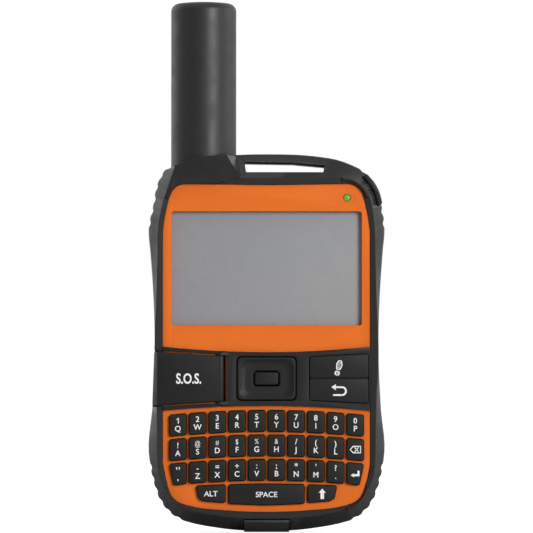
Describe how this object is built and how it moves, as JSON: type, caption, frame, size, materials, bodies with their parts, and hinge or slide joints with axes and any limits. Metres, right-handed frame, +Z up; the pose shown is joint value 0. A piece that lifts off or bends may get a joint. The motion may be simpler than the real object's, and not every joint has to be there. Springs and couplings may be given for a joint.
{
  "type": "satellite phone",
  "caption": "Hand-held two-way satellite messenger with stub antenna, display, letter keys, direction pad and a covered emergency button in a rubber bumper.",
  "frame": {"origin": "middle of the bounding box's base, level with the lowest edge of the bumper", "axes": "+Z up along the antenna, the face looks to -Y, +X to the right as the face is seen"},
  "size_m": [0.0738, 0.024, 0.1657],
  "materials": {
    "orange_housing": "fine-grained satin orange moulding",
    "black_bumper": "matt black overmoulded rubber",
    "black_panel": "matt black",
    "cover_rubber": "matt black",
    "button_rubber": "matt black",
    "key_plastic": "satin black with white legends",
    "antenna_cover": "satin black",
    "silicone": "soft grey silicone",
    "red_button": "satin red",
    "steel": "plain steel",
    "window": "clear hard-coated window over a grey display",
    "display": "grey reflective liquid crystal panel",
    "circuit_board": "green solder mask",
    "battery": "wrapped cell",
    "copper": "bare copper conductors on a former",
    "green_light": "green light pipe"
  },
  "bodies": {
    "case": {"antenna_helix": "copper", "antenna_radome": "antenna_cover", "battery_pack": "battery", "bumper": "black_bumper", "case_screw_1": "steel", "case_screw_2": "steel", "case_screw_3": "steel", "case_screw_4": "steel", "casing_seal": "silicone", "control_panel": "black_panel", "display_module": "display", "display_window": "window", "front_housing": "orange_housing", "keypad_mat": "silicone", "main_board": "circuit_board", "rear_casing": "black_bumper", "status_light": "green_light", "usb_socket": "steel"},
    "sos_cover": {"sos_cover": "cover_rubber"},
    "usb_cover": {"usb_cover": "cover_rubber"},
    "dpad_pivot": {"dpad_pivot": "steel"},
    "dpad_ring": {"dpad_ring": "button_rubber"},
    "select_button": {"select_button": "button_rubber"},
    "track_button": {"track_button": "button_rubber"},
    "back_button": {"back_button": "button_rubber"},
    "sos_button": {"sos_button": "red_button"},
    "power_button": {"power_button": "button_rubber"},
    "key_a": {"key_a": "key_plastic"},
    "key_alt": {"key_alt": "key_plastic"},
    "key_b": {"key_b": "key_plastic"},
    "key_backspace": {"key_backspace": "key_plastic"},
    "key_c": {"key_c": "key_plastic"},
    "key_comma": {"key_comma": "key_plastic"},
    "key_d": {"key_d": "key_plastic"},
    "key_e": {"key_e": "key_plastic"},
    "key_enter": {"key_enter": "key_plastic"},
    "key_f": {"key_f": "key_plastic"},
    "key_g": {"key_g": "key_plastic"},
    "key_h": {"key_h": "key_plastic"},
    "key_i": {"key_i": "key_plastic"},
    "key_j": {"key_j": "key_plastic"},
    "key_k": {"key_k": "key_plastic"},
    "key_l": {"key_l": "key_plastic"},
    "key_m": {"key_m": "key_plastic"},
    "key_n": {"key_n": "key_plastic"},
    "key_o": {"key_o": "key_plastic"},
    "key_p": {"key_p": "key_plastic"},
    "key_period": {"key_period": "key_plastic"},
    "key_q": {"key_q": "key_plastic"},
    "key_r": {"key_r": "key_plastic"},
    "key_s": {"key_s": "key_plastic"},
    "key_shift": {"key_shift": "key_plastic"},
    "key_space": {"key_space": "key_plastic"},
    "key_t": {"key_t": "key_plastic"},
    "key_u": {"key_u": "key_plastic"},
    "key_v": {"key_v": "key_plastic"},
    "key_w": {"key_w": "key_plastic"},
    "key_x": {"key_x": "key_plastic"},
    "key_y": {"key_y": "key_plastic"},
    "key_z": {"key_z": "key_plastic"}
  },
  "joints": [
    {"name": "sos_cover_hinge", "type": "hinge", "parent": "case", "child": "sos_cover", "pos_m": [-0.0143, -0.0104, 0.04775], "axis": [0, 0, 1], "range_deg": [0, 110]},
    {"name": "usb_cover_hinge", "type": "hinge", "parent": "case", "child": "usb_cover", "pos_m": [0, -0.011, 0.0034], "axis": [-1, 0, 0], "range_deg": [0, 165]},
    {"name": "dpad_left_right", "type": "hinge", "parent": "case", "child": "dpad_pivot", "pos_m": [0, -0.0088, 0.04775], "axis": [0, 0, 1], "range_deg": [-3, 3], "stiffness_Nm_per_rad": 0.5},
    {"name": "dpad_up_down", "type": "hinge", "parent": "dpad_pivot", "child": "dpad_ring", "pos_m": [0, -0.0088, 0.04775], "axis": [1, 0, 0], "range_deg": [-3, 3], "stiffness_Nm_per_rad": 0.5},
    {"name": "power_press", "type": "slide", "parent": "case", "child": "power_button", "axis": [-0.8944, 0, -0.4472], "range_m": [0, 0.0005], "stiffness_N_per_m": 600},
    {"name": "select_press", "type": "slide", "parent": "case", "child": "select_button", "axis": [0, 1, 0], "range_m": [0, 0.0005], "stiffness_N_per_m": 600},
    {"name": "track_press", "type": "slide", "parent": "case", "child": "track_button", "axis": [0, 1, 0], "range_m": [0, 0.0004], "stiffness_N_per_m": 600},
    {"name": "back_press", "type": "slide", "parent": "case", "child": "back_button", "axis": [0, 1, 0], "range_m": [0, 0.0004], "stiffness_N_per_m": 600},
    {"name": "sos_press", "type": "slide", "parent": "case", "child": "sos_button", "axis": [0, 1, 0], "range_m": [0, 0.0005], "stiffness_N_per_m": 600},
    {"name": "key_a_press", "type": "slide", "parent": "case", "child": "key_a", "axis": [0, 1, 0], "range_m": [0, 0.0005], "stiffness_N_per_m": 500},
    {"name": "key_alt_press", "type": "slide", "parent": "case", "child": "key_alt", "axis": [0, 1, 0], "range_m": [0, 0.0005], "stiffness_N_per_m": 500},
    {"name": "key_b_press", "type": "slide", "parent": "case", "child": "key_b", "axis": [0, 1, 0], "range_m": [0, 0.0005], "stiffness_N_per_m": 500},
    {"name": "key_backspace_press", "type": "slide", "parent": "case", "child": "key_backspace", "axis": [0, 1, 0], "range_m": [0, 0.0005], "stiffness_N_per_m": 500},
    {"name": "key_c_press", "type": "slide", "parent": "case", "child": "key_c", "axis": [0, 1, 0], "range_m": [0, 0.0005], "stiffness_N_per_m": 500},
    {"name": "key_comma_press", "type": "slide", "parent": "case", "child": "key_comma", "axis": [0, 1, 0], "range_m": [0, 0.0005], "stiffness_N_per_m": 500},
    {"name": "key_d_press", "type": "slide", "parent": "case", "child": "key_d", "axis": [0, 1, 0], "range_m": [0, 0.0005], "stiffness_N_per_m": 500},
    {"name": "key_e_press", "type": "slide", "parent": "case", "child": "key_e", "axis": [0, 1, 0], "range_m": [0, 0.0005], "stiffness_N_per_m": 500},
    {"name": "key_enter_press", "type": "slide", "parent": "case", "child": "key_enter", "axis": [0, 1, 0], "range_m": [0, 0.0005], "stiffness_N_per_m": 500},
    {"name": "key_f_press", "type": "slide", "parent": "case", "child": "key_f", "axis": [0, 1, 0], "range_m": [0, 0.0005], "stiffness_N_per_m": 500},
    {"name": "key_g_press", "type": "slide", "parent": "case", "child": "key_g", "axis": [0, 1, 0], "range_m": [0, 0.0005], "stiffness_N_per_m": 500},
    {"name": "key_h_press", "type": "slide", "parent": "case", "child": "key_h", "axis": [0, 1, 0], "range_m": [0, 0.0005], "stiffness_N_per_m": 500},
    {"name": "key_i_press", "type": "slide", "parent": "case", "child": "key_i", "axis": [0, 1, 0], "range_m": [0, 0.0005], "stiffness_N_per_m": 500},
    {"name": "key_j_press", "type": "slide", "parent": "case", "child": "key_j", "axis": [0, 1, 0], "range_m": [0, 0.0005], "stiffness_N_per_m": 500},
    {"name": "key_k_press", "type": "slide", "parent": "case", "child": "key_k", "axis": [0, 1, 0], "range_m": [0, 0.0005], "stiffness_N_per_m": 500},
    {"name": "key_l_press", "type": "slide", "parent": "case", "child": "key_l", "axis": [0, 1, 0], "range_m": [0, 0.0005], "stiffness_N_per_m": 500},
    {"name": "key_m_press", "type": "slide", "parent": "case", "child": "key_m", "axis": [0, 1, 0], "range_m": [0, 0.0005], "stiffness_N_per_m": 500},
    {"name": "key_n_press", "type": "slide", "parent": "case", "child": "key_n", "axis": [0, 1, 0], "range_m": [0, 0.0005], "stiffness_N_per_m": 500},
    {"name": "key_o_press", "type": "slide", "parent": "case", "child": "key_o", "axis": [0, 1, 0], "range_m": [0, 0.0005], "stiffness_N_per_m": 500},
    {"name": "key_p_press", "type": "slide", "parent": "case", "child": "key_p", "axis": [0, 1, 0], "range_m": [0, 0.0005], "stiffness_N_per_m": 500},
    {"name": "key_period_press", "type": "slide", "parent": "case", "child": "key_period", "axis": [0, 1, 0], "range_m": [0, 0.0005], "stiffness_N_per_m": 500},
    {"name": "key_q_press", "type": "slide", "parent": "case", "child": "key_q", "axis": [0, 1, 0], "range_m": [0, 0.0005], "stiffness_N_per_m": 500},
    {"name": "key_r_press", "type": "slide", "parent": "case", "child": "key_r", "axis": [0, 1, 0], "range_m": [0, 0.0005], "stiffness_N_per_m": 500},
    {"name": "key_s_press", "type": "slide", "parent": "case", "child": "key_s", "axis": [0, 1, 0], "range_m": [0, 0.0005], "stiffness_N_per_m": 500},
    {"name": "key_shift_press", "type": "slide", "parent": "case", "child": "key_shift", "axis": [0, 1, 0], "range_m": [0, 0.0005], "stiffness_N_per_m": 500},
    {"name": "key_space_press", "type": "slide", "parent": "case", "child": "key_space", "axis": [0, 1, 0], "range_m": [0, 0.0005], "stiffness_N_per_m": 500},
    {"name": "key_t_press", "type": "slide", "parent": "case", "child": "key_t", "axis": [0, 1, 0], "range_m": [0, 0.0005], "stiffness_N_per_m": 500},
    {"name": "key_u_press", "type": "slide", "parent": "case", "child": "key_u", "axis": [0, 1, 0], "range_m": [0, 0.0005], "stiffness_N_per_m": 500},
    {"name": "key_v_press", "type": "slide", "parent": "case", "child": "key_v", "axis": [0, 1, 0], "range_m": [0, 0.0005], "stiffness_N_per_m": 500},
    {"name": "key_w_press", "type": "slide", "parent": "case", "child": "key_w", "axis": [0, 1, 0], "range_m": [0, 0.0005], "stiffness_N_per_m": 500},
    {"name": "key_x_press", "type": "slide", "parent": "case", "child": "key_x", "axis": [0, 1, 0], "range_m": [0, 0.0005], "stiffness_N_per_m": 500},
    {"name": "key_y_press", "type": "slide", "parent": "case", "child": "key_y", "axis": [0, 1, 0], "range_m": [0, 0.0005], "stiffness_N_per_m": 500},
    {"name": "key_z_press", "type": "slide", "parent": "case", "child": "key_z", "axis": [0, 1, 0], "range_m": [0, 0.0005], "stiffness_N_per_m": 500}
  ]
}
